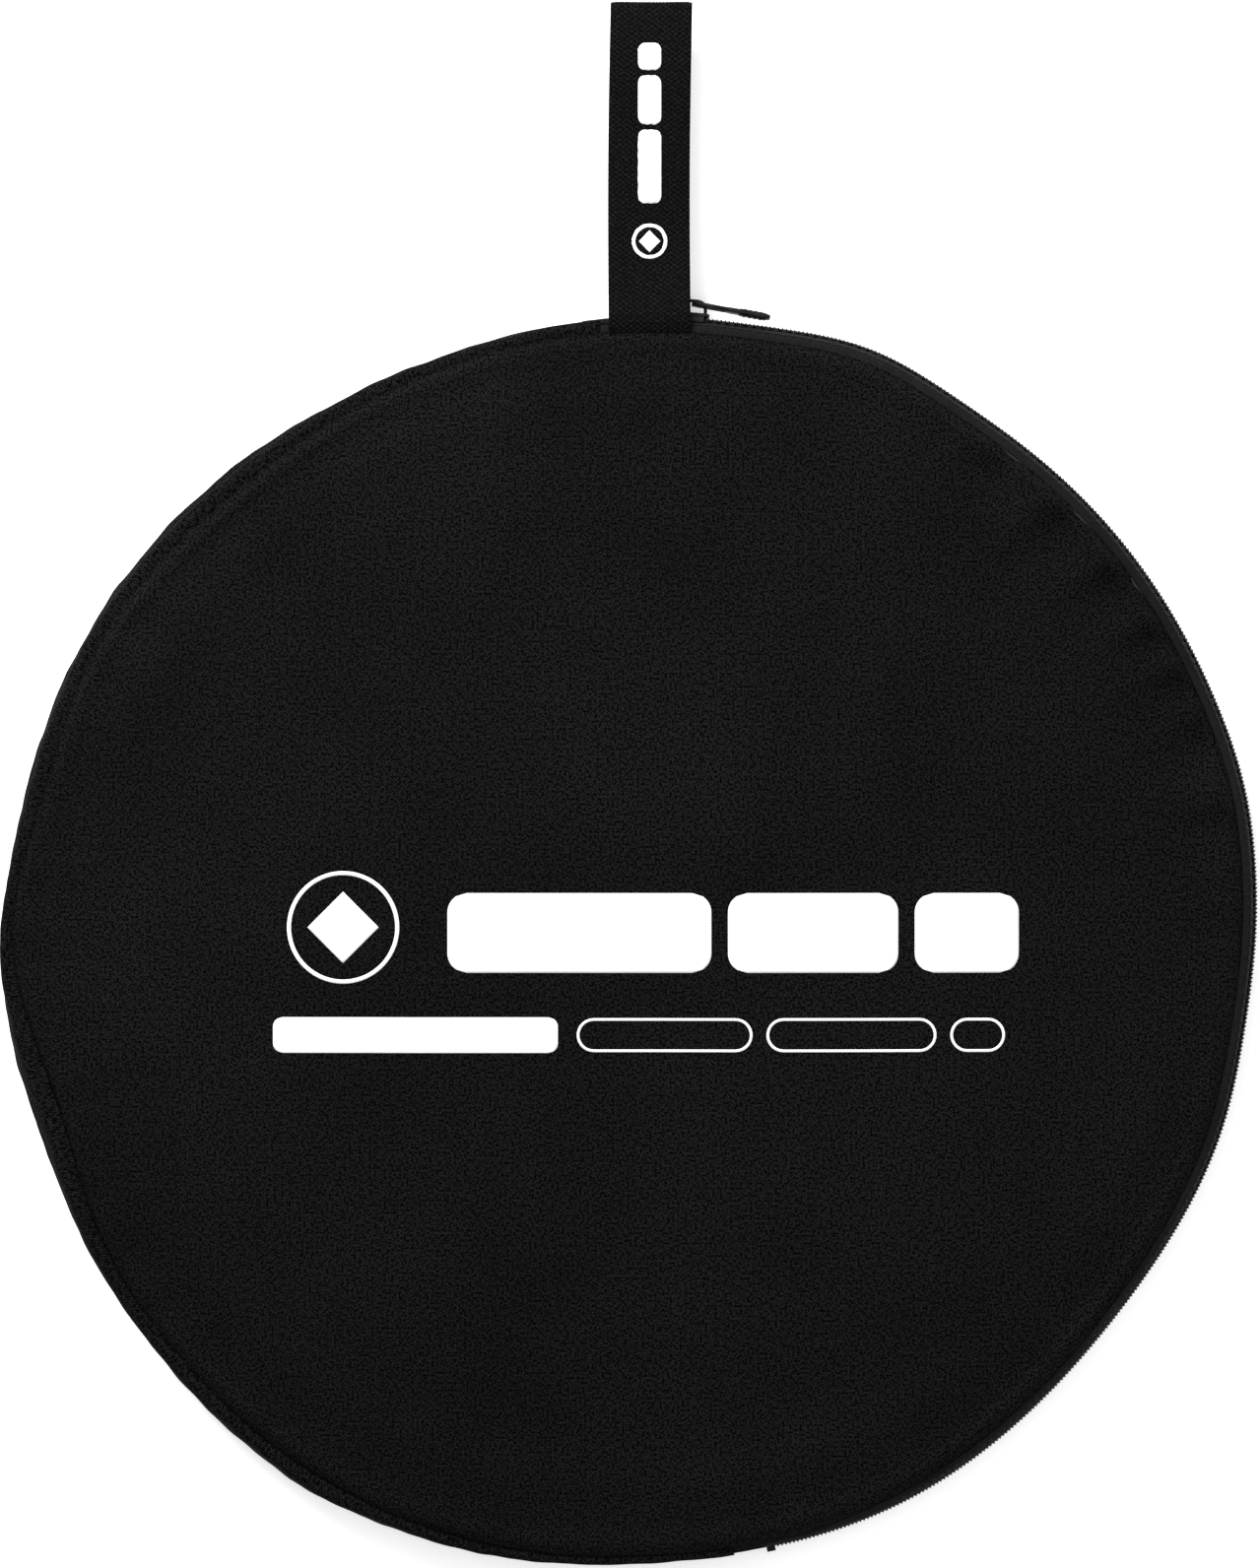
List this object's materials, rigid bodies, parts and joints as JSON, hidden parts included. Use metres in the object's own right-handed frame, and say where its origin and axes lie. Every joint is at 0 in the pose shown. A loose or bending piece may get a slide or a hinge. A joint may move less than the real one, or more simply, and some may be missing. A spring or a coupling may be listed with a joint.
{
  "type": "folded collapsible reflector in a zipped round carry bag",
  "caption": "Round zipped carry bag with a webbing hand loop, holding a collapsible two-sided reflector whose sprung hoop is folded into three loops.",
  "frame": {"origin": "centre of the back panel's outer face, on which the bag lies", "axes": "+Z out of the front panel, +Y towards the carrying strap, +X towards the zipped side"},
  "size_m": [0.4584, 0.5726, 0.031],
  "materials": {
    "canvas": "matte",
    "binding": "matte",
    "zip_tape": "matte",
    "zip_coil": "satin",
    "zip_metal": "satin",
    "pull_metal": "satin",
    "webbing": "matte",
    "spring_steel": "satin",
    "silver_cloth": "satin",
    "white_cloth": "matte"
  },
  "bodies": {
    "bag": {"back_panel": "canvas", "front_panel_fixed": "canvas", "gusset_strip": "canvas", "back_seam_binding": "binding", "front_seam_binding_fixed": "binding", "back_zip_tape": "zip_tape", "back_zip_coil": "zip_coil", "front_zip_tape_ends": "zip_tape", "front_zip_coil_ends": "zip_coil", "zip_top_stops": "zip_metal", "zip_bottom_stop": "zip_metal", "zip_end_tabs": "canvas", "strap_anchor_front": "webbing", "strap_anchor_back": "webbing"},
    "flap": {"front_panel_flap": "canvas", "front_seam_binding_flap": "binding", "front_zip_tape": "zip_tape", "front_zip_coil": "zip_coil"},
    "slider": {"slider_body": "zip_metal", "slider_bridge": "zip_metal"},
    "pull": {"pull_tab": "pull_metal"},
    "handle": {"strap_loop": "webbing"},
    "reflector": {"hoop_band": "spring_steel", "hoop_ferrule": "spring_steel", "rim_binding": "binding", "silver_face": "silver_cloth", "white_face": "white_cloth"}
  },
  "joints": [
    {"name": "flap_fold", "type": "hinge", "parent": "bag", "child": "flap", "pos_m": [0.05598, 0.00465, 0.0315], "axis": [0.0828, -0.9966, 0], "range_deg": [0, 120]},
    {"name": "reflector_slide", "type": "slide", "parent": "bag", "child": "reflector", "axis": [0.9966, 0.0828, 0], "range_m": [0, 0.45], "deforming": ["back_zip_tape", "back_zip_coil"]},
    {"name": "slider_travel", "type": "hinge", "parent": "bag", "child": "slider", "pos_m": [0, 0, 0.013], "axis": [0, 0, 1], "range_deg": [-158.4, 0]},
    {"name": "pull_flip", "type": "hinge", "parent": "slider", "child": "pull", "pos_m": [0.02292, 0.23378, 0.013], "axis": [0, 0, 1], "range_deg": [0, 180]},
    {"name": "handle_swing", "type": "hinge", "parent": "bag", "child": "handle", "pos_m": [0.0066, 0.252, 0.013], "axis": [1, 0, 0], "range_deg": [-90, 90]}
  ],
  "couplings": [
    {"joint": "reflector_slide", "follows": "flap_fold", "m_per_rad": 0.214}
  ]
}
